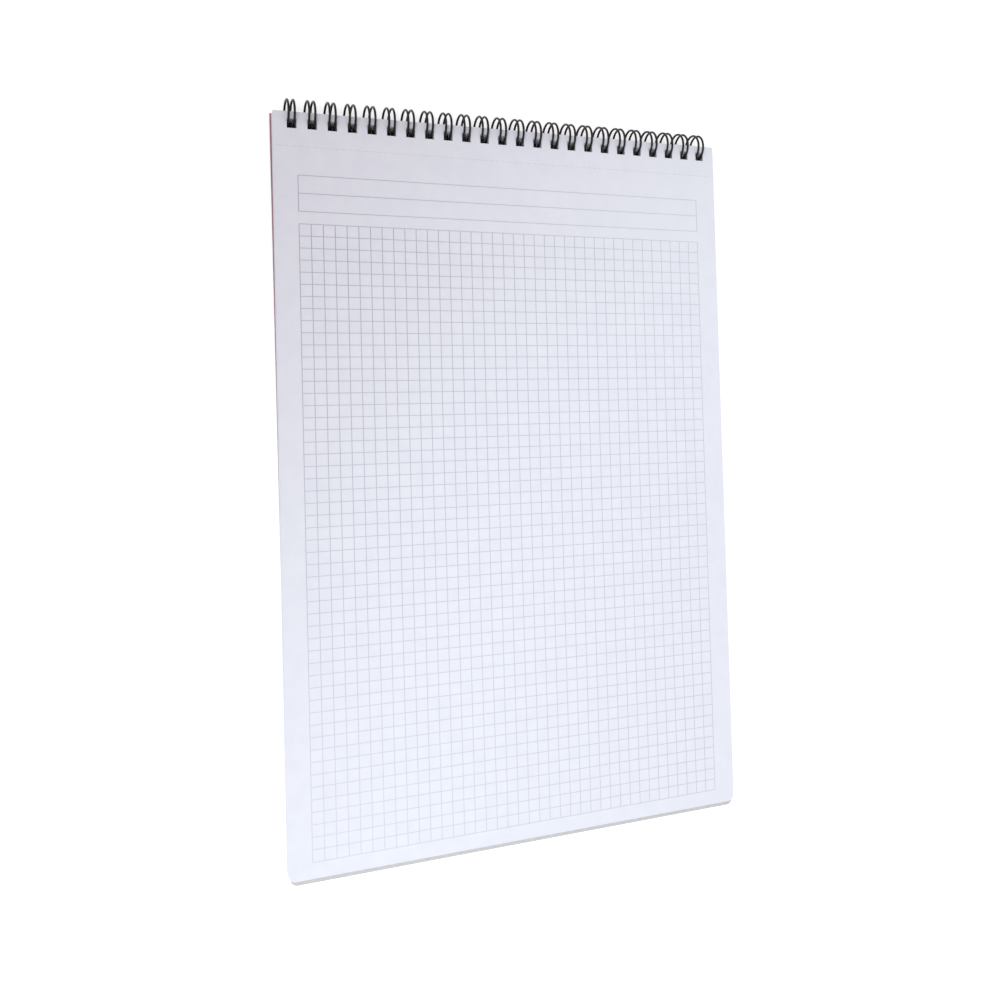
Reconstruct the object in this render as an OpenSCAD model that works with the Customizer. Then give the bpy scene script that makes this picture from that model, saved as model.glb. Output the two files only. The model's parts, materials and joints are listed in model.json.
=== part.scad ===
// A squared writing pad, bound along its head with twin-loop wire and lying on its back.
// X runs across the pad, +Y runs up the page to the wire, +Z points up out of the written page.
// The origin is under the middle of the pad, on the surface that it lies on.

/* [Sheets] */
// Width of a sheet
page_w = 210; // [148:1:230]
// Height of a sheet, with the strip that stays in the wire when a sheet is torn out
page_h = 313; // [210:1:340]
// Thickness of all the sheets together
block_t = 5.8; // [1:0.1:6.2]
// Radius of the two corners at the tail of the pad
corner_r = 3; // [0.5:0.5:10]
// Distance of the tear-off line from the head of a sheet
tear_y = 14.3; // [9:0.1:25]
// Width of the groove that the row of fine cuts makes in the top sheet
tear_w = 0.3; // [0.1:0.1:1]
// Depth of that groove
tear_depth = 0.1; // [0.05:0.05:0.5]

/* [Holes] */
// Side of a square hole
hole = 4; // [3.9:0.1:4.5]
// Distance between hole centres, three to the inch
pitch = 8.467; // [8:0.001:9.5]
// Paper left between a hole and the head of the sheet
hole_margin = 2.9; // [2:0.1:3.2]
// Least paper left between an end hole and the side of the sheet
hole_side = 4.5; // [2:0.5:12]

/* [Ruling] */
// Side of one printed square
square = 5; // [4:0.5:10]
// Columns of squares
grid_columns = 38; // [10:1:38]
// Rows of squares
grid_rows = 52; // [10:1:52]
// Distance of the grid's top line from the head of the sheet
grid_y = 46.5; // [38:0.5:50]
// Height of one row of the heading box
head_row = 7.5; // [4:0.25:8.5]
// Rows in the heading box
head_rows = 2; // [1:1:2]
// Blank band between the heading box and the grid
head_gap = 5.2; // [1:0.1:10]
// Width of a printed line
line_w = 0.3; // [0.1:0.05:1]
// Thickness that one pass of ink is drawn with
ink_t = 0.02; // [0.01:0.01:0.1]

/* [Covers] */
// Thickness of the grey board at the back
board_t = 1.4; // [0.4:0.1:2]
// Thickness of the front cover
cover_t = 0.35; // [0.2:0.05:0.8]
// How far the cover reaches past the sheets at each side
cover_over = 0.4; // [0.1:0.1:3]
// How far the board and the cover reach past the sheets at the tail
tail_over = 4.2; // [0.5:0.1:6]
// Gap between the folded cover and the board at the tail
tail_gap = 0.1; // [0.05:0.05:0.5]

/* [Wire] */
// Thickness of the wire with its coating
wire_d = 1; // [0.6:0.05:1.1]
// Outside diameter of a closed loop
ring_od = 13; // [12.7:0.1:16]
// Distance between the two wires of a loop
pair_w = 2.5; // [2:0.1:2.7]
// Bending radius where a loop runs out into the base wire
bend_r = 0.8; // [0.6:0.1:1]
// Gap between the tip of a closed loop and the line of the base wire
tip_gap = 0.3; // [0.1:0.05:0.8]
// Play between a loop and the far side of its hole
hole_play = 0.2; // [0.1:0.05:0.5]
// Play between the folded cover's edge and the inside of a loop
cover_play = 0.07; // [0.05:0.01:0.2]
// Play of the base wire between the board and the folded cover
base_play = 0.22; // [0.1:0.01:0.4]

/* [Hidden] */
$fn = 48;

// The row of holes, centred across the sheet
hole_n = floor((page_w - hole - 2 * hole_side) / pitch) + 1;
// Turns are kept to a hundredth of a degree
function hundredth(a) = round(100 * a) / 100;
function hole_x(i) = (i - (hole_n - 1) / 2) * pitch;

// Radii of a closed loop: the middle, the inside and the outside of its wire
wire_r = wire_d / 2;
ring_r = ring_od / 2 - wire_r;
ring_in = ring_r - wire_r;
ring_out = ring_od / 2;

// A bead a hair wider than the wire joins each stretch of a loop to its round tip. The stretches
// stop just inside it, by these turns, so that no two curved faces merely touch
bead_r = wire_r + 0.02;
arc_short = 0.2;
crown_short = 1;

// Height of the second pass of ink over the first
pass_step = 1.5 * ink_t;

// Depths below the ring's centre: the folded cover sits as deep as the loops let its margin sit,
// the base wire runs above it and the board lies above the base wire
cover_low = sqrt(pow(ring_in - cover_play, 2) - pow(hole_margin / 2, 2));
cover_high = cover_low - cover_t;
base_deep = cover_high - base_play - wire_r;
board_low = base_deep - wire_r - base_play;

// Heights from the ring's centre, and places along the page from it
board_high = board_t - board_low;
block_high = board_high + block_t;
head = hole_margin + hole - ring_out - hole_play;
cover_head = hole_margin / 2;
cover_len = page_h + tail_over;
cover_w = page_w + 2 * cover_over;

// Angles about the ring's centre, from its lowest point towards the page. A loop leaves the base
// wire at base_turn, passes up through the sheets, over and round, and its tip ends at tip_turn
base_turn = hundredth(acos(base_deep / norm([ring_r, bend_r])) + atan2(bend_r, ring_r));
base_back = ring_r * sin(base_turn) - bend_r * cos(base_turn);
tip_turn = hundredth(atan2(base_back, base_deep) - atan2(pair_w / 2 + wire_r + tip_gap, ring_r));
link_x = pair_w / 2 + bend_r;

// The base wire runs on from loop to loop. Each loop has half a run on both sides, and the halves
// lap by a hair so that they always become one wire
run_lap = 0.04;
half_run = (pitch + run_lap) / 2 - link_x;

// The folded cover closes towards the board, and the pad lies on its loops and the cover's tail
cover_reach = cover_len - cover_head;
cover_turn = asin((cover_high - board_low - tail_gap) / cover_reach);
tail_y = -cover_reach * cos(cover_turn) - cover_low * sin(cover_turn);
tail_z = cover_reach * sin(cover_turn) - cover_low * cos(cover_turn);
rest_turn = asin(ring_out / norm([tail_y, tail_z])) - atan2(-tail_z, -tail_y);

// Where the ring's centre stands, so that the pad's outline is centred on the origin
board_tail_y = (head - cover_len) * cos(rest_turn) - board_high * sin(rest_turn);
ring_y = -(ring_out + board_tail_y) / 2;

module lying() {
    translate([0, ring_y, ring_out]) rotate([rest_turn, 0, 0]) children();
}

// A sheet seen from above, its head at y = 0: square at the head and rounded at the tail
module sheet_outline(w, h, r) {
    translate([-w / 2, -h + r]) square([w, h - r]);
    translate([-w / 2 + r, -h]) square([w - 2 * r, r]);
    for (side = [-1, 1]) translate([side * (w / 2 - r), -h + r]) circle(r = r);
}

module hole_row() {
    for (i = [0:hole_n - 1])
        translate([hole_x(i) - hole / 2, -hole_margin - hole]) square(hole);
}

module punched(w, h, r, t) {
    linear_extrude(height = t) difference() {
        sheet_outline(w, h, r);
        hole_row();
    }
}

module page_block() {
    color("white") lying() translate([0, head, board_high]) difference() {
        punched(page_w, page_h, corner_r, block_t);
        translate([-page_w, -tear_y - tear_w / 2, block_t - tear_depth])
            cube([2 * page_w, tear_w, 2 * tear_depth]);
    }
}

// One printed line: its left or upper end, its length, and the pass of ink that it belongs to. The
// second pass is drawn a little over the first, so that crossing lines stay separate
module line_across(x, y, len, pass) {
    translate([x, y - line_w / 2, pass * pass_step]) cube([len, line_w, ink_t]);
}

module line_down(x, y, len, pass) {
    translate([x - line_w / 2, y - len, pass * pass_step]) cube([line_w, len, ink_t]);
}

module page_ruling() {
    grid_w = grid_columns * square;
    grid_h = grid_rows * square;
    head_h = head_rows * head_row;
    head_top = -grid_y + head_gap + head_h;
    color("silver") lying() translate([0, head, block_high]) {
        for (i = [0:grid_columns])
            line_down(i * square - grid_w / 2, -grid_y, grid_h, 0);
        for (i = [0:grid_rows])
            line_across(-grid_w / 2, -grid_y - i * square, grid_w, 1);
        for (side = [-1, 1])
            line_down(side * grid_w / 2, head_top, head_h, 0);
        for (i = [0:head_rows])
            line_across(-grid_w / 2, head_top - i * head_row, grid_w, 1);
    }
}

module back_cover() {
    color("darkgray") lying() translate([0, head, -board_low])
        punched(page_w, cover_len, corner_r, board_t);
}

module front_cover() {
    color("rosybrown") lying() rotate([-cover_turn, 0, 0]) translate([0, cover_head, -cover_low])
        punched(cover_w, cover_len, corner_r + cover_over, cover_t);
}

// A stretch of a loop in its own plane, between two angles from the lowest point
module ring_arc(from, to) {
    rotate([180, 90, 0]) rotate([0, 0, from])
        rotate_extrude(angle = to - from) translate([ring_r, 0]) circle(r = wire_r);
}

// The plane that touches the ring at an angle: x stays across the pad, y runs on round the ring
module on_ring(turn) {
    rotate([180, 90, 0]) rotate([0, 0, turn]) translate([ring_r, 0, 0]) rotate([0, 90, 0]) children();
}

module wire_bend(r, from, sweep) {
    rotate([0, 0, from]) rotate_extrude(angle = sweep) translate([r, 0]) circle(r = wire_r);
}

// A straight length of the base wire, from x on across the pad
module base_run(x, len) {
    translate([x, -bend_r, 0]) rotate([0, 90, 0]) cylinder(r = wire_r, h = len);
}

// One twin loop: two wires round the ring, closed by a round tip, and bent out into the base wire
module twin_loop() {
    for (side = [-1, 1]) translate([side * pair_w / 2, 0, 0])
        ring_arc(base_turn, 360 + tip_turn - arc_short);
    on_ring(tip_turn) {
        wire_bend(pair_w / 2, crown_short, 180 - 2 * crown_short);
        for (side = [-1, 1]) translate([side * pair_w / 2, 0, 0]) sphere(r = bead_r);
    }
    on_ring(base_turn) {
        translate([link_x, 0, 0]) wire_bend(bend_r, 180, 90);
        translate([-link_x, 0, 0]) wire_bend(bend_r, 270, 90);
        base_run(link_x, half_run);
        base_run(-link_x - half_run, half_run);
    }
}

module binding_wire() {
    color([0.12, 0.11, 0.11]) lying()
        for (i = [0:hole_n - 1]) translate([hole_x(i), 0, 0]) twin_loop();
}

page_block();
page_ruling();
back_cover();
front_cover();
binding_wire();
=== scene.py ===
# %% [markdown]
# # A squared writing pad with a wire binding
#
# The object is a large pad of squared paper, bound along its head with black twin-loop wire. It is
# folded open at a clean page, so the rose front cover lies behind the grey back board.
# The solids come ready-made and at their real size. This file gives each one its finish, swaps the
# plain block of paper for real leaves, and sets up the light and the camera.

import json
import math
import random

import bmesh
import bpy
from mathutils import Matrix, Vector


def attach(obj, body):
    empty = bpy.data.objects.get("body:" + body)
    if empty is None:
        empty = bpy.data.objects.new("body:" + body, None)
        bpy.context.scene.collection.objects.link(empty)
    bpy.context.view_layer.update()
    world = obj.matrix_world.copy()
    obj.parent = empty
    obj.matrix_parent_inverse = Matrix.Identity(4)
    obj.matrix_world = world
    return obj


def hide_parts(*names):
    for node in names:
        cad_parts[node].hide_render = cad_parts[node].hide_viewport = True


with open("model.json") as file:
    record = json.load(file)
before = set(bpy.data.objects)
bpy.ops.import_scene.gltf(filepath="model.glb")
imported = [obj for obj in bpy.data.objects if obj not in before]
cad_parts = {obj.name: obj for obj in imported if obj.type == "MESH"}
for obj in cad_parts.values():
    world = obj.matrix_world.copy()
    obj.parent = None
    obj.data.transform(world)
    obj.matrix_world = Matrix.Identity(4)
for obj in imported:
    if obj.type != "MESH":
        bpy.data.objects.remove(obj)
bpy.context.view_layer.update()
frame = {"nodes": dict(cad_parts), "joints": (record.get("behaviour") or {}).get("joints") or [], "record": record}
print("solids:", sorted(frame["nodes"]))

# %% [markdown]
# ## Where the pad lies
#
# A pad on a table doesn't lie level. Its loops reach lower than its covers, so they prop up the
# head, and at the other end only the tail edge of the folded cover touches the table. That makes a
# tilt of half a degree. Everything built here is drawn in the pad's own directions, x across the
# page, y up the page and z out of it, measured from the middle of the wire loops. One matrix then
# lays it down. The hinge gives the middle of the loops, and the tail edge's direction gives the
# tilt, so both always agree with the solids.

# %% The pad's own directions
MM = 0.001

hinge = frame["joints"][0]["pos_m"]
tail_mount = next(m for m in frame["record"]["mounts"] if m["name"] == "tail_edge")
tilt = math.atan2(-tail_mount["axis"][2], -tail_mount["axis"][1])
lay_down = Matrix.Translation(hinge) @ Matrix.Rotation(tilt, 4, "X") @ Matrix.Scale(MM, 4)
lift_up = lay_down.inverted()
print("tilt of the pad in degrees:", round(math.degrees(tilt), 3))


def in_pad(node):
    """The lowest and highest corner of a solid, in millimetres and the pad's own directions."""
    corners = [lift_up @ v.co for v in frame["nodes"][node].data.vertices]
    low = Vector(min(c[i] for c in corners) for i in range(3))
    high = Vector(max(c[i] for c in corners) for i in range(3))
    return low, high


block_low, block_high = in_pad("page_block")
page_w = block_high.x - block_low.x
page_h = block_high.y - block_low.y
print("sheet:", round(page_w, 2), "x", round(page_h, 2), "mm")

# %% [markdown]
# ## The cut of a sheet
#
# Every sheet is cut the same: square corners at the head, two rounded ones at the tail, and a row
# of square holes, three to the inch. A boolean for each hole in each leaf would be slow and leave
# ragged faces. The outline is instead built from strips: a strip above the holes, the webs between
# them, and one large face below. Pulling that flat shape up gives a clean closed leaf.

# %% Measures of the cut
HOLE = 4.0
HOLE_PITCH = 25.4 / 3
HOLE_MARGIN = 2.9
HOLE_COUNT = 24
CORNER_R = 3.0
CORNER_STEPS = 6
NEAR = 0.01

hole_middle = [(i - (HOLE_COUNT - 1) / 2) * HOLE_PITCH for i in range(HOLE_COUNT)]
print("holes from", round(hole_middle[0], 2), "to", round(hole_middle[-1], 2), "mm")

# %% [markdown]
# ### One leaf
#
# The corners at the tail are short rows of points on a quarter circle. The walls of the holes get a
# number of their own, so that they carry the painted shade of the holes instead of the paper.

# %% One leaf, and what turns it into a piece
def leaf_mesh(mesh, left, right, h, corner, z, t):
    """Adds one leaf to a bmesh: its head at y = 0, its underside at z, t thick."""
    first_face = len(mesh.faces)
    cuts = [x for middle in hole_middle for x in (middle - HOLE / 2, middle + HOLE / 2)]
    xs = [left, *cuts, right]
    levels = (0.0, -HOLE_MARGIN, -HOLE_MARGIN - HOLE)
    rows = [[mesh.verts.new((x, y, z)) for x in xs] for y in levels]
    flat = []
    for i in range(len(xs) - 1):
        flat.append((rows[0][i + 1], rows[0][i], rows[1][i], rows[1][i + 1]))
        is_web = i % 2 == 0
        if is_web:
            flat.append((rows[1][i + 1], rows[1][i], rows[2][i], rows[2][i + 1]))
    tail = []
    for middle, start in ((left + corner, 180), (right - corner, 270)):
        for k in range(CORNER_STEPS + 1):
            turn = math.radians(start + 90 * k / CORNER_STEPS)
            x = middle + corner * math.cos(turn)
            y = -h + corner + corner * math.sin(turn)
            tail.append(mesh.verts.new((x, y, z)))
    flat.append(list(reversed(rows[2])) + tail)
    faces = [mesh.faces.new(corners) for corners in flat]
    pulled = bmesh.ops.extrude_face_region(mesh, geom=faces, use_keep_orig=True)
    top = [v for v in pulled["geom"] if isinstance(v, bmesh.types.BMVert)]
    bmesh.ops.translate(mesh, vec=(0, 0, t), verts=top)
    mesh.faces.ensure_lookup_table()
    for face in mesh.faces[first_face:]:
        middle = face.calc_center_median()
        is_wall = z + 0.25 * t < middle.z < z + 0.75 * t
        in_row = levels[2] - NEAR < middle.y < levels[1] + NEAR
        if is_wall and in_row and left + NEAR < middle.x < right - NEAR:
            # Hole walls take the second finish, the painted shade of the holes.
            face.material_index = 1


def finish_piece(mesh, name, body, materials):
    """Turns a bmesh drawn in the pad's directions into a piece that rides on a body."""
    bmesh.ops.recalc_face_normals(mesh, faces=mesh.faces[:])
    data = bpy.data.meshes.new(name)
    mesh.to_mesh(data)
    mesh.free()
    data.transform(lay_down)
    for material in materials:
        data.materials.append(material)
    piece = bpy.data.objects.new(name, data)
    bpy.context.scene.collection.objects.link(piece)
    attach(piece, body)
    print(name, "has", len(data.polygons), "faces")
    return piece


# %% [markdown]
# ## Finishes
#
# Paper, board, card, ink and coated wire are all dull, so each finish is mostly its fine texture.
# One helper starts every material: a plain shader, and texture coordinates in millimetres, so that
# every scale below reads as a real size.

# %% The start of every material
def new_finish(name, roughness, specular=0.5):
    """A material with its shader, and a mapping that gives texture places in millimetres."""
    material = bpy.data.materials.new(name)
    material.use_nodes = True
    nodes = material.node_tree.nodes
    shader = nodes["Principled BSDF"]
    shader.inputs["Roughness"].default_value = roughness
    shader.inputs["Specular IOR Level"].default_value = specular
    place = nodes.new("ShaderNodeTexCoord")
    in_mm = nodes.new("ShaderNodeMapping")
    in_mm.inputs["Scale"].default_value = (1 / MM, 1 / MM, 1 / MM)
    material.node_tree.links.new(place.outputs["Object"], in_mm.inputs["Vector"])
    print("finish:", name)
    return material, shader, in_mm


def noise_layer(material, source, size, detail=3.0, roughness=0.55, stretch=(1, 1, 1)):
    """Noise whose patches are about size millimetres wide."""
    tree = material.node_tree
    shape = tree.nodes.new("ShaderNodeMapping")
    shape.inputs["Scale"].default_value = stretch
    layer = tree.nodes.new("ShaderNodeTexNoise")
    layer.inputs["Scale"].default_value = 1 / size
    layer.inputs["Detail"].default_value = detail
    layer.inputs["Roughness"].default_value = roughness
    tree.links.new(source.outputs["Vector"], shape.inputs["Vector"])
    tree.links.new(shape.outputs["Vector"], layer.inputs["Vector"])
    return layer


def colour_ramp(material, layer, stops):
    """Turns a noise layer into colours: stops are (place, colour)."""
    tree = material.node_tree
    ramp = tree.nodes.new("ShaderNodeValToRGB")
    while len(ramp.color_ramp.elements) < len(stops):
        ramp.color_ramp.elements.new(0.5)
    for element, (place, colour) in zip(ramp.color_ramp.elements, stops):
        element.position = place
        element.color = (*colour, 1)
    tree.links.new(layer.outputs["Fac"], ramp.inputs["Fac"])
    return ramp


def bump(material, shader, layer, height_mm, strength=1.0):
    """Raises the surface by height_mm where the layer is bright."""
    tree = material.node_tree
    relief = tree.nodes.new("ShaderNodeBump")
    relief.inputs["Strength"].default_value = strength
    relief.inputs["Distance"].default_value = height_mm * MM
    tree.links.new(layer.outputs["Fac"], relief.inputs["Height"])
    tree.links.new(relief.outputs["Normal"], shader.inputs["Normal"])
    return relief


# %% [markdown]
# ### Paper
#
# Writing paper is white with a cool tint, because it is made with brighteners. Close up it has a
# fine tooth of pressed fibres, and held at a slant it shows soft clouds where the pulp lay thicker.
# Both are faint: too much of either turns paper into plaster.

# %% Paper finish
PAPER_LIGHT = (0.865, 0.872, 0.925)
PAPER_CLOUD = (0.838, 0.846, 0.905)


def paper_finish():
    material, shader, in_mm = new_finish("white_paper", roughness=0.82, specular=0.3)
    clouds = noise_layer(material, in_mm, size=7.0, detail=4.0)
    ramp = colour_ramp(material, clouds, [(0.35, PAPER_CLOUD), (0.65, PAPER_LIGHT)])
    material.node_tree.links.new(ramp.outputs["Color"], shader.inputs["Base Color"])
    tooth = noise_layer(material, in_mm, size=0.25, detail=5.0, roughness=0.7)
    bump(material, shader, tooth, height_mm=0.012, strength=0.6)
    return material


white_paper = paper_finish()

# %% [markdown]
# ### Painted shade on the punched edges
#
# The walls of the punched holes are almost black, because little light gets down beside the wires.
# The lamps here don't make the walls that dark, so the shade is painted on: they get a dark grey
# finish of their own.

# %% Painted shade finish for the punched edges
PAINTED_SHADE_DARK = (0.045, 0.043, 0.045)
PAINTED_SHADE_PALE = (0.11, 0.107, 0.112)


def painted_shade_finish():
    material, shader, in_mm = new_finish("painted_shade", roughness=0.95, specular=0.1)
    # Painted shade: a mottled dark grey for walls that lie in shade.
    shade_mottle = noise_layer(material, in_mm, size=0.8, detail=3.0)
    ramp = colour_ramp(material, shade_mottle, [(0.35, PAINTED_SHADE_DARK), (0.7, PAINTED_SHADE_PALE)])
    material.node_tree.links.new(ramp.outputs["Color"], shader.inputs["Base Color"])
    return material


painted_shade = painted_shade_finish()

# %% [markdown]
# ### Printing ink
#
# The squares are printed in a pale grey with a little violet in it. The ink sinks into the paper,
# so its line is never quite even: it gets a fine mottle and no gloss. The ink's colour also carries
# painted light and shade over the page: darker at the head of its left side, where the page lies in
# shade, and paler down towards the tail, where the page is brightest. Two blends do that: one down
# the left side and one across to the right side, where the ink is the same all the way.

# %% Ink finish
# The left-side ink colours carry painted shade at the head and painted light at the tail.
INK_IN_SHADE_LEFT_HEAD = (0.43, 0.42, 0.50)
INK_IN_LIGHT_LEFT_TAIL = (0.71, 0.685, 0.80)
INK_RIGHT = (0.60, 0.602, 0.66)
INK_MOTTLE = 0.06
PAINTED_LIGHT_UP_PAGE = (-140, 100)
PAINTED_LIGHT_ACROSS = (-80, 80)
STRENGTH_DOWN = 0.97
STRENGTH_ACROSS = 0.74


def blend_colours(material, factor, first, second):
    """Mixes two colours. Each is a plain colour or the output of a node."""
    tree = material.node_tree
    mix = tree.nodes.new("ShaderNodeMix")
    mix.data_type = "RGBA"
    tree.links.new(factor, mix.inputs["Factor"])
    for socket, colour in ((mix.inputs[6], first), (mix.inputs[7], second)):
        if isinstance(colour, tuple):
            socket.default_value = (*colour, 1)
        else:
            tree.links.new(colour, socket)
    return mix.outputs[2]


def share_between(material, value, low, high):
    """0 where the value is low, 1 where it is high."""
    share = material.node_tree.nodes.new("ShaderNodeMapRange")
    share.inputs["From Min"].default_value = low
    share.inputs["From Max"].default_value = high
    material.node_tree.links.new(value, share.inputs["Value"])
    return share.outputs["Result"]


def ink_finish(name, strength):
    """The ink of one pass. Strength 1 is full, and less is nearer to the paper."""
    def toward_paper(colour):
        return tuple(p + strength * (c - p) for c, p in zip(colour, PAPER_LIGHT))

    material, shader, in_mm = new_finish(name, roughness=0.9, specular=0.2)
    tree = material.node_tree
    place = tree.nodes.new("ShaderNodeSeparateXYZ")
    tree.links.new(in_mm.outputs["Vector"], place.inputs["Vector"])
    # Painted light and shade on the ink: darker at the shaded head of the left side, paler at the lit tail.
    up_page = share_between(material, place.outputs["Y"], *PAINTED_LIGHT_UP_PAGE)
    across = share_between(material, place.outputs["X"], *PAINTED_LIGHT_ACROSS)
    head, tail, far = (toward_paper(c) for c in (INK_IN_SHADE_LEFT_HEAD, INK_IN_LIGHT_LEFT_TAIL, INK_RIGHT))
    left = blend_colours(material, up_page, tail, head)
    whole = blend_colours(material, across, left, far)
    mottle = noise_layer(material, in_mm, size=0.6, detail=4.0, roughness=0.65)
    uneven = tree.nodes.new("ShaderNodeHueSaturation")
    tree.links.new(whole, uneven.inputs["Color"])
    amount = tree.nodes.new("ShaderNodeMapRange")
    amount.inputs["To Min"].default_value = 1 - INK_MOTTLE
    amount.inputs["To Max"].default_value = 1 + INK_MOTTLE
    tree.links.new(mottle.outputs["Fac"], amount.inputs["Value"])
    tree.links.new(amount.outputs["Result"], uneven.inputs["Value"])
    tree.links.new(uneven.outputs["Color"], shader.inputs["Base Color"])
    return material


ink_down = ink_finish("ink_down_lines", STRENGTH_DOWN)
ink_across = ink_finish("ink_across_lines", STRENGTH_ACROSS)

# %% [markdown]
# ### Grey board
#
# The back board is made of recycled pulp. It is a warm grey with darker and lighter fibres in it,
# all lying about the same way, and its face is rougher than that of the paper.

# %% Board finish
BOARD_DARK = (0.56, 0.535, 0.525)
BOARD_MID = (0.66, 0.635, 0.62)
BOARD_PALE = (0.74, 0.715, 0.70)
FIBRE_RUN = (0.35, 1.6, 1.0)


def board_finish():
    material, shader, in_mm = new_finish("grey_board", roughness=0.92, specular=0.2)
    fibres = noise_layer(material, in_mm, 0.9, detail=8.0, roughness=0.75, stretch=FIBRE_RUN)
    stops = [(0.3, BOARD_DARK), (0.5, BOARD_MID), (0.72, BOARD_PALE)]
    ramp = colour_ramp(material, fibres, stops)
    material.node_tree.links.new(ramp.outputs["Color"], shader.inputs["Base Color"])
    bump(material, shader, fibres, height_mm=0.05, strength=0.7)
    return material


grey_board = board_finish()

# %% [markdown]
# ### Rose card
#
# The front cover is a thin card. Its outside is printed rose and varnished to a soft sheen, and
# its inside is the bare white card. Folded behind, its rose side faces the board and its white
# side faces the table. The cover's own up direction tells the two sides apart.

# %% Card finish
ROSE_DARK = (0.43, 0.21, 0.27)
ROSE_PALE = (0.52, 0.28, 0.34)
INSIDE_DARK = (0.714, 0.71, 0.696)
INSIDE_PALE = (0.76, 0.755, 0.74)


def card_finish(name, dark, pale, roughness, coat):
    material, shader, in_mm = new_finish(name, roughness=roughness, specular=0.4)
    shader.inputs["Coat Weight"].default_value = coat
    shader.inputs["Coat Roughness"].default_value = 0.3
    clouds = noise_layer(material, in_mm, size=3.0, detail=6.0, roughness=0.6)
    ramp = colour_ramp(material, clouds, [(0.35, dark), (0.65, pale)])
    material.node_tree.links.new(ramp.outputs["Color"], shader.inputs["Base Color"])
    tooth = noise_layer(material, in_mm, size=0.35, detail=4.0)
    bump(material, shader, tooth, height_mm=0.01, strength=0.5)
    return material


rose_card = card_finish("rose_card", ROSE_DARK, ROSE_PALE, roughness=0.45, coat=0.25)
card_inside = card_finish("card_inside", INSIDE_DARK, INSIDE_PALE, roughness=0.85, coat=0.0)

# %% [markdown]
# ### Black wire
#
# The binding wire is steel with a thin black nylon skin. It is a soft black with a broad
# highlight, and the skin has a faint orange-peel from the coating bath.

# %% Wire finish
WIRE_BLACK = (0.008, 0.007, 0.007)
WIRE_WORN = (0.02, 0.018, 0.018)


def wire_finish():
    material, shader, in_mm = new_finish("black_wire", roughness=0.3, specular=0.28)
    patches = noise_layer(material, in_mm, size=2.5, detail=4.0)
    ramp = colour_ramp(material, patches, [(0.4, WIRE_BLACK), (0.7, WIRE_WORN)])
    material.node_tree.links.new(ramp.outputs["Color"], shader.inputs["Base Color"])
    peel = noise_layer(material, in_mm, size=0.18, detail=2.0)
    bump(material, shader, peel, height_mm=0.01, strength=0.5)
    return material


black_wire = wire_finish()

# %% [markdown]
# ## The leaves
#
# From the side a pad shows the edges of its leaves, and they never line up quite: each lies a few
# hundredths of a millimetre off the next. The block is swapped for real leaves, each with its own
# holes. The leaves below the first hang a little lower towards the tail, because the round loops
# let them slide, and so a narrow strip of their edges shows under the top sheet.

# %% The stack of leaves
LEAF_STEP = 0.1
LEAF_T = 0.088
SIDE_PLAY = 0.05
SIDE_SHIFT = 0.22
STACK_LEAN = 0.28
TAIL_PLAY = 0.1
TAIL_SLIDE = 0.4
SLIDE_DEPTH = 0.5

shuffle = random.Random(24)
leaf_count = round((block_high.z - block_low.z) / LEAF_STEP) - 1
stack = bmesh.new()
for i in range(leaf_count):
    start = len(stack.verts)
    z = block_low.z + i * LEAF_STEP
    depth = block_high.z - LEAF_STEP - z
    slide = TAIL_SLIDE * (1 - math.exp(-depth / SLIDE_DEPTH))
    leaf_mesh(stack, -page_w / 2, page_w / 2, page_h, CORNER_R, z, LEAF_T)
    stack.verts.ensure_lookup_table()
    lean = STACK_LEAN * depth / (block_high.z - block_low.z)
    off_x = SIDE_SHIFT + lean + shuffle.uniform(-SIDE_PLAY, SIDE_PLAY)
    off_y = block_high.y - slide + shuffle.uniform(-TAIL_PLAY, TAIL_PLAY)
    bmesh.ops.translate(stack, vec=(off_x, off_y, 0), verts=stack.verts[start:])
leaves = finish_piece(stack, "leaves", "pad", [white_paper, painted_shade])
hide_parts("page_block")
print("leaves under the top sheet:", leaf_count)

# %% [markdown]
# ## The top sheet
#
# The top sheet carries the ruling, so it stays flat and just under the printed lines. It is cut
# like every other leaf, but it stands alone, because it hangs straight.

# %% The top sheet
sheet = bmesh.new()
leaf_mesh(sheet, -page_w / 2, page_w / 2, page_h, CORNER_R, block_high.z - LEAF_T, LEAF_T)
bmesh.ops.translate(sheet, vec=(SIDE_SHIFT, block_high.y, 0), verts=sheet.verts[:])
finish_piece(sheet, "top_sheet", "pad", [white_paper, painted_shade])

# %% [markdown]
# ## The tear-off cuts
#
# A row of fine cuts crosses the top sheet below the wire, so that it tears out clean. A real cut is
# thinner than a hair, and a slit of that width would hardly catch any light. What the eye finds is
# the low lip that the blade pressed up and the dark line of shade in front of it, so each cut is
# drawn as those two: one small ridge of paper and one thin ridge with that shade painted on it.

# %% The tear-off cuts
TEAR_DOWN = 14.3
CUT_LENGTH = 2.2
CUT_STEP = 3.0
CUT_W = 0.09
LIP_W = 0.22
LIP_HIGH = 0.05
RIDGE_PEAK = 0.35
CUT_HIGH = 0.006
SUNK = 0.01
FIRST_CUT = 1.2
LAST_CUT = 0.8


def add_ridge(mesh, x, y, length, width, low, high, index=0):
    """A long low ridge. Its front foot lies at y and starts at x, and its back slopes gently."""
    ends = []
    for end in (x, x + length):
        corners = ((end, y, low), (end, y + width, low), (end, y + RIDGE_PEAK * width, high))
        ends.append([mesh.verts.new(corner) for corner in corners])
    (a, b, c), (d, e, f) = ends
    for corners in ((a, b, c), (d, f, e), (a, d, e, b), (b, e, f, c), (c, f, d, a)):
        mesh.faces.new(corners).material_index = index


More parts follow.
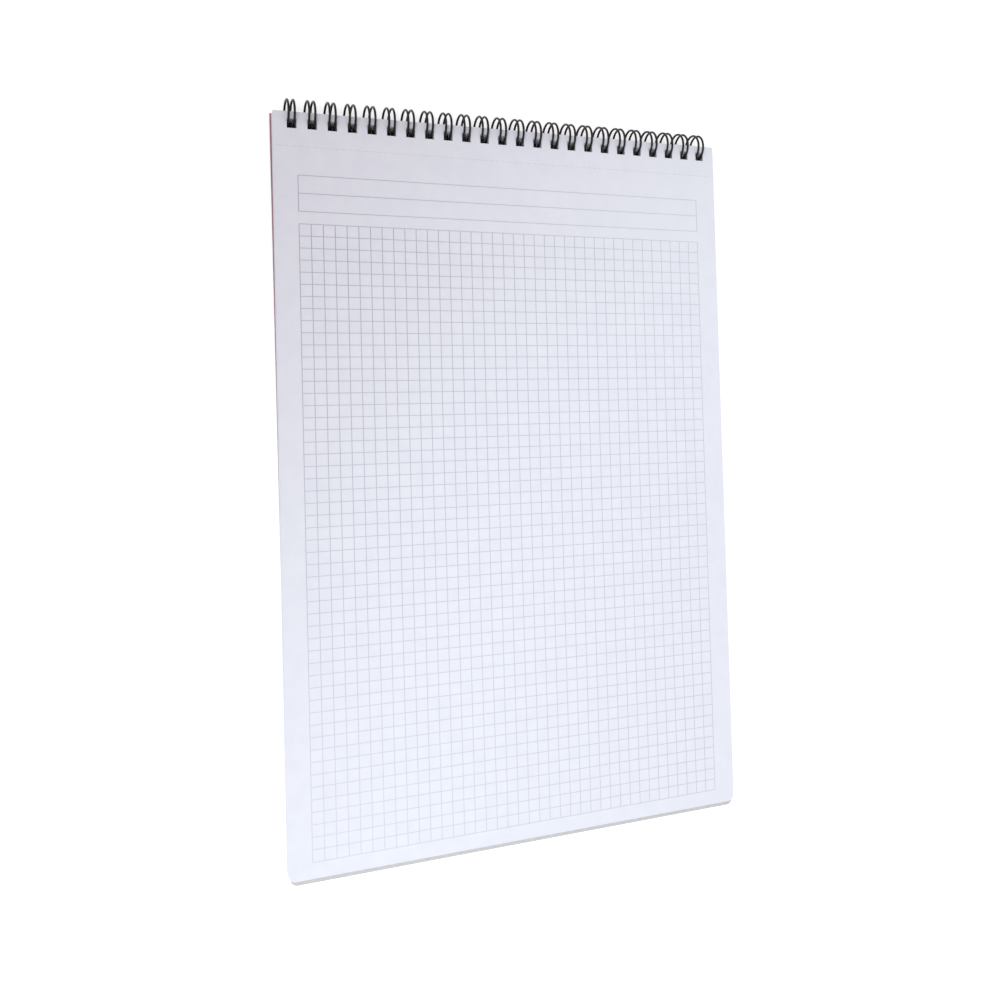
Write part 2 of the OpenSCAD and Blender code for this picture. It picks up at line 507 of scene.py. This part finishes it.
lips = bmesh.new()
cut_count = int((page_w - FIRST_CUT - LAST_CUT) / CUT_STEP)
tear_y = block_high.y - TEAR_DOWN
foot = block_high.z - SUNK
for i in range(cut_count):
    x = SIDE_SHIFT - page_w / 2 + FIRST_CUT + i * CUT_STEP
    add_ridge(lips, x, tear_y, CUT_LENGTH, LIP_W, foot, block_high.z + LIP_HIGH)
    # This second ridge is painted shade: the dark line in front of the lip.
    add_ridge(lips, x, tear_y - CUT_W, CUT_LENGTH, CUT_W, foot, block_high.z + CUT_HIGH, 1)
finish_piece(lips, "tear_line", "pad", [white_paper, painted_shade])
print("cuts along the tear-off line:", cut_count)

# %% [markdown]
# ## The back board
#
# The board is cut a little wider than the sheets and punched off its middle, so it stays behind
# them on the left and reaches past them on the right. It is longer too, and shows as a grey strip
# below the tail. Its solid is plain and centred, so the board is cut again here at its own place.

# %% The back board
BOARD_LEFT = -103.2
BOARD_RIGHT = 108.0
board_low, board_high = in_pad("back_cover")
board_len = board_high.y - board_low.y
board = bmesh.new()
board_t = board_high.z - board_low.z
leaf_mesh(board, BOARD_LEFT, BOARD_RIGHT, board_len, CORNER_R, board_low.z, board_t)
bmesh.ops.translate(board, vec=(0, board_high.y, 0), verts=board.verts[:])
back_board = finish_piece(board, "back_board", "pad", [grey_board, painted_shade])
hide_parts("back_cover")
print("board:", BOARD_RIGHT - BOARD_LEFT, "x", round(board_len, 1), "mm")

# %% [markdown]
# ## The folded cover
#
# The cover hangs on the loops by its own holes and closes towards the board at the tail, so it has
# a tilt of its own. Its solid gives that tilt. The real one also hangs a hair askew, so its rose
# rim shows past the board on the left near the head and is gone at the tail.

# %% The folded cover
COVER_SHIFT = 0.5
COVER_SKEW = 1.2
COVER_T = 0.35
END_ZONE = 0.5

cover_points = [lift_up @ v.co for v in frame["nodes"]["front_cover"].data.vertices]
cover_head = max(point.y for point in cover_points)
cover_tail = min(point.y for point in cover_points)
head_z = min(point.z for point in cover_points if point.y > cover_head - END_ZONE)
tail_z = min(point.z for point in cover_points if point.y < cover_tail + END_ZONE)
closing = math.atan2(tail_z - head_z, cover_head - cover_tail)
cover_side = max(point.x for point in cover_points)
cover_len = (cover_head - cover_tail) / math.cos(closing)
print("the cover closes by", round(math.degrees(closing), 3), "degrees")

card = bmesh.new()
leaf_mesh(card, -cover_side, cover_side, cover_len, CORNER_R, 0, COVER_T)
card.normal_update()
for face in card.faces:
    if all(v.co.z > 0.5 * COVER_T for v in face.verts):
        face.material_index = 2
for v in card.verts:
    v.co.x += COVER_SHIFT + COVER_SKEW * (-v.co.y / cover_len)
close_up = Matrix.Rotation(-closing, 3, "X")
bmesh.ops.rotate(card, cent=(0, 0, 0), matrix=close_up, verts=card.verts[:])
bmesh.ops.translate(card, vec=(0, cover_head, head_z), verts=card.verts[:])
card_parts = [card_inside, painted_shade, rose_card]
folded_cover = finish_piece(card, "folded_cover", "cover", card_parts)
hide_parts("front_cover")

# %% [markdown]
# ## The printed lines
#
# The lines already have their true shape, so they keep it and get their ink. The lines down the
# page were printed a little stronger than those across it. The two passes lie at two heights, and
# that is how they are told apart here.

# %% Ink the lines
ruling_low, ruling_high = in_pad("page_ruling")
between_passes = (ruling_low.z + ruling_high.z) / 2
lines = frame["nodes"]["page_ruling"].data
lines.materials.clear()
lines.materials.append(ink_down)
lines.materials.append(ink_across)
for face in lines.polygons:
    corners = [lift_up @ lines.vertices[k].co for k in face.vertices]
    middle_z = sum(corner.z for corner in corners) / len(corners)
    face.material_index = 1 if middle_z > between_passes else 0
print("faces of printed lines:", len(lines.polygons))

# %% [markdown]
# ## The wire
#
# One piece of steel wire is bent into all the loops. Its solid is true, but it is faceted, and a
# thin round wire shows every facet in its highlight. So the wire is drawn again along the same
# line: a path that runs along the base, up round a loop, over its round tip and back, and on to the
# next one. A ring of points is carried along that path without twisting.

# %% The line of the wire
WIRE_R = 0.5
RING_R = 6.0
PAIR = 2.5
BEND_R = 0.8
BASE_TURN = 54.14
TIP_TURN = 27.68
BEND_LEAD = 0.3
BEND_STEPS = 6
RING_STEPS = 72
CROWN_STEPS = 16
link_x = PAIR / 2 + BEND_R


def on_ring(turn, x, along):
    """A point beside the ring: x across the pad, and along measured on round the ring."""
    a = math.radians(turn)
    y = -math.sin(a) * RING_R - math.cos(a) * along
    z = -math.cos(a) * RING_R + math.sin(a) * along
    return Vector((x, y, z))


def one_loop(middle):
    """The line of one twin loop, from the base wire on its left to that on its right."""
    base = [(-HOLE_PITCH / 2, -BEND_R), (-link_x - BEND_LEAD, -BEND_R)]
    for k in range(BEND_STEPS + 1):
        turn = math.radians(270 + 90 * k / BEND_STEPS)
        base.append((-link_x + BEND_R * math.cos(turn), BEND_R * math.sin(turn)))
    line = [on_ring(BASE_TURN, x, along) for x, along in base]
    sweep = 360 + TIP_TURN - BASE_TURN
    for k in range(1, RING_STEPS + 1):
        line.append(on_ring(BASE_TURN + sweep * k / RING_STEPS, -PAIR / 2, 0))
    for k in range(1, CROWN_STEPS // 2):
        turn = math.radians(180 - 180 * k / CROWN_STEPS)
        line.append(on_ring(TIP_TURN, PAIR / 2 * math.cos(turn), PAIR / 2 * math.sin(turn)))
    top = [on_ring(TIP_TURN, 0, PAIR / 2)]
    mirrored = [Vector((-p.x, p.y, p.z)) for p in reversed(line)]
    return [p + Vector((middle, 0, 0)) for p in line + top + mirrored]


wire_line = []
for i, middle in enumerate(hole_middle):
    loop = one_loop(middle)
    wire_line += loop if i == 0 else loop[1:]
print("points along the wire:", len(wire_line))

# %% [markdown]
# ### The skin of the wire
#
# A curve with a bevel would draw a tube too, but it can pinch where the wire bends tightly. Here
# the ring of points is turned at each step only as far as the wire itself turns. So it never
# twists, and the long faces between the rings shade as one smooth wire. Flat discs close its ends.

# %% The wire itself
WIRE_SIDES = 12

wire = bmesh.new()
rings = []
side_way = Vector((0, 1, 0))
for i, point in enumerate(wire_line):
    before = wire_line[max(i - 1, 0)]
    after = wire_line[min(i + 1, len(wire_line) - 1)]
    ahead = (after - before).normalized()
    side_way = (side_way - ahead * side_way.dot(ahead)).normalized()
    third = ahead.cross(side_way)
    ring = []
    for k in range(WIRE_SIDES):
        turn = 2 * math.pi * k / WIRE_SIDES
        out = side_way * math.cos(turn) + third * math.sin(turn)
        ring.append(wire.verts.new(point + WIRE_R * out))
    rings.append(ring)
for first, second in zip(rings, rings[1:]):
    for k in range(WIRE_SIDES):
        j = (k + 1) % WIRE_SIDES
        wire.faces.new((first[k], first[j], second[j], second[k])).smooth = True
wire.faces.new(rings[0])
wire.faces.new(list(reversed(rings[-1])))
bound_wire = finish_piece(wire, "binding_loops", "pad", [black_wire])
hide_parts("binding_wire")

# %% [markdown]
# ## Camera
#
# The camera stands where the photographer's stood. Its place was worked out from the grid: the
# squares are really square, so the way they shrink and lean in the picture fixes the lens, the
# place and the turn. The numbers are millimetres on the page, from a point at its lower left.

# %% Camera
ZERO_DOWN = 312.5
PAGE_ZERO = Vector((-page_w / 2, block_high.y - ZERO_DOWN, block_high.z))
EYE = Vector((-60.40, 181.25, 410.07))
AIM = Vector((96.56, 193.35, 0.0))
ROLL = math.radians(1.541)
LENS = 35.867
SHIFT_Y = -0.1032

eye = lay_down @ (PAGE_ZERO + EYE)
aim = lay_down @ (PAGE_ZERO + AIM)
page_up = (lay_down.to_3x3() @ Vector((0, 1, 0))).normalized()
forward = (aim - eye).normalized()
right = forward.cross(page_up).normalized()
up = right.cross(forward)
turned_up = up * math.cos(ROLL) + right * math.sin(ROLL)
turned_right = forward.cross(turned_up)

camera_data = bpy.data.cameras.new("camera")
camera_data.lens = LENS
camera_data.sensor_width = 36
camera_data.shift_y = SHIFT_Y
camera = bpy.data.objects.new("camera", camera_data)
camera.matrix_world = Matrix((
    (turned_right.x, turned_up.x, -forward.x, eye.x),
    (turned_right.y, turned_up.y, -forward.y, eye.y),
    (turned_right.z, turned_up.z, -forward.z, eye.z),
    (0, 0, 0, 1),
))
bpy.context.scene.collection.objects.link(camera)
bpy.context.scene.camera = camera
print("camera height over the floor:", round(eye.z, 3), "m")

# %% [markdown]
# ## The floor
#
# The photo's ground is plain white, so the floor is white too. To the camera it is a little
# brighter than the light alone makes it, but it still takes the pad's shadow. Right under the pad
# that help is left out, so that the punched holes look into the dark.

# %% Floor
FLOOR_SIZE = 6.0
FLOOR_GREY = 0.8
FLOOR_LIFT = 0.5
DARK_REACH = (("X", 100.0), ("Y", 158.0))


def reckon(tree, operation, first, second):
    """One step of arithmetic in the finish. Each side is a number or the output of a node."""
    step = tree.nodes.new("ShaderNodeMath")
    step.operation = operation
    for socket, value in zip(step.inputs, (first, second)):
        if isinstance(value, float):
            socket.default_value = value
        else:
            tree.links.new(value, socket)
    return step.outputs[0]


def floor_finish():
    material, shader, in_mm = new_finish("white_floor", roughness=0.9)
    tree = material.node_tree
    shader.inputs["Base Color"].default_value = (FLOOR_GREY, FLOOR_GREY, FLOOR_GREY, 1)
    shader.inputs["Emission Color"].default_value = (1, 1, 1, 1)
    rays = tree.nodes.new("ShaderNodeLightPath")
    is_seen = rays.outputs["Is Camera Ray"]
    is_seen = reckon(tree, "MAXIMUM", is_seen, rays.outputs["Is Glossy Ray"])
    lift = reckon(tree, "MULTIPLY", is_seen, FLOOR_LIFT)
    axes = tree.nodes.new("ShaderNodeSeparateXYZ")
    tree.links.new(in_mm.outputs["Vector"], axes.inputs["Vector"])
    past = []
    for axis, reach in DARK_REACH:
        away = reckon(tree, "ABSOLUTE", axes.outputs[axis], 0.0)
        past.append(reckon(tree, "GREATER_THAN", away, reach))
    outside = reckon(tree, "MAXIMUM", *past)
    glow = reckon(tree, "MULTIPLY", lift, outside)
    tree.links.new(glow, shader.inputs["Emission Strength"])
    return material


floor_mesh = bpy.data.meshes.new("floor")
half = FLOOR_SIZE / 2
corners = [(-half, -half, 0), (half, -half, 0), (half, half, 0), (-half, half, 0)]
floor_mesh.from_pydata(corners, [], [(0, 1, 2, 3)])
floor_mesh.materials.append(floor_finish())
floor = bpy.data.objects.new("floor", floor_mesh)
bpy.context.scene.collection.objects.link(floor)
print("floor:", FLOOR_SIZE, "m wide")

# %% [markdown]
# ## The light
#
# The photo's light is soft: the pad hardly has a shadow, and its page is brighter at the tail and
# on the right. An even sky gives the softness, and one wide lamp, the window, gives the wire its
# highlights. The slow change over the page comes from a third light, a round beam that is aimed
# past the right side of the pad, so that only its fading edge lies over the page.

# %% Light
WINDOW_FROM = (-0.7, 0.45, 1.3)
WINDOW_SIZE = 1.0
WINDOW_POWER = 5.0
WINDOW_COLOUR = (1.0, 0.985, 0.99)
BEAM_FROM = Vector((-600, -500, 1200))
BEAM_TO = Vector((339, -37, 0))
BEAM_ANGLE = math.radians(33.4)
BEAM_FADE = 0.48
BEAM_SOFTNESS = 0.1
BEAM_POWER = 40.0
BEAM_COLOUR = (0.85, 0.975, 1.0)
SKY_COLOUR = (0.988, 0.954, 1.0)
SKY_STRENGTH = 0.56


def new_lamp(name, kind, power, colour, place, target):
    """A lamp at place, turned to target. Both are metres on the floor."""
    lamp = bpy.data.lights.new(name, kind)
    lamp.energy = power
    lamp.color = colour
    stand = bpy.data.objects.new(name, lamp)
    stand.location = place
    stand.rotation_euler = (Vector(target) - Vector(place)).to_track_quat("-Z", "Y").to_euler()
    bpy.context.scene.collection.objects.link(stand)
    print("lamp:", name, power, "W")
    return lamp


window = new_lamp("window", "AREA", WINDOW_POWER, WINDOW_COLOUR, WINDOW_FROM, (0, 0, 0))
window.shape = "SQUARE"
window.size = WINDOW_SIZE

beam_from = lay_down @ (PAGE_ZERO + BEAM_FROM)
beam_to = lay_down @ (PAGE_ZERO + BEAM_TO)
daylight = new_lamp("daylight", "SPOT", BEAM_POWER, BEAM_COLOUR, beam_from, beam_to)
daylight.spot_size = BEAM_ANGLE
daylight.spot_blend = BEAM_FADE
daylight.shadow_soft_size = BEAM_SOFTNESS

world = bpy.data.worlds.new("studio")
world.use_nodes = True
sky = world.node_tree.nodes["Background"]
sky.inputs["Color"].default_value = (*SKY_COLOUR, 1)
sky.inputs["Strength"].default_value = SKY_STRENGTH
bpy.context.scene.world = world
bpy.context.scene.view_settings.view_transform = "Standard"
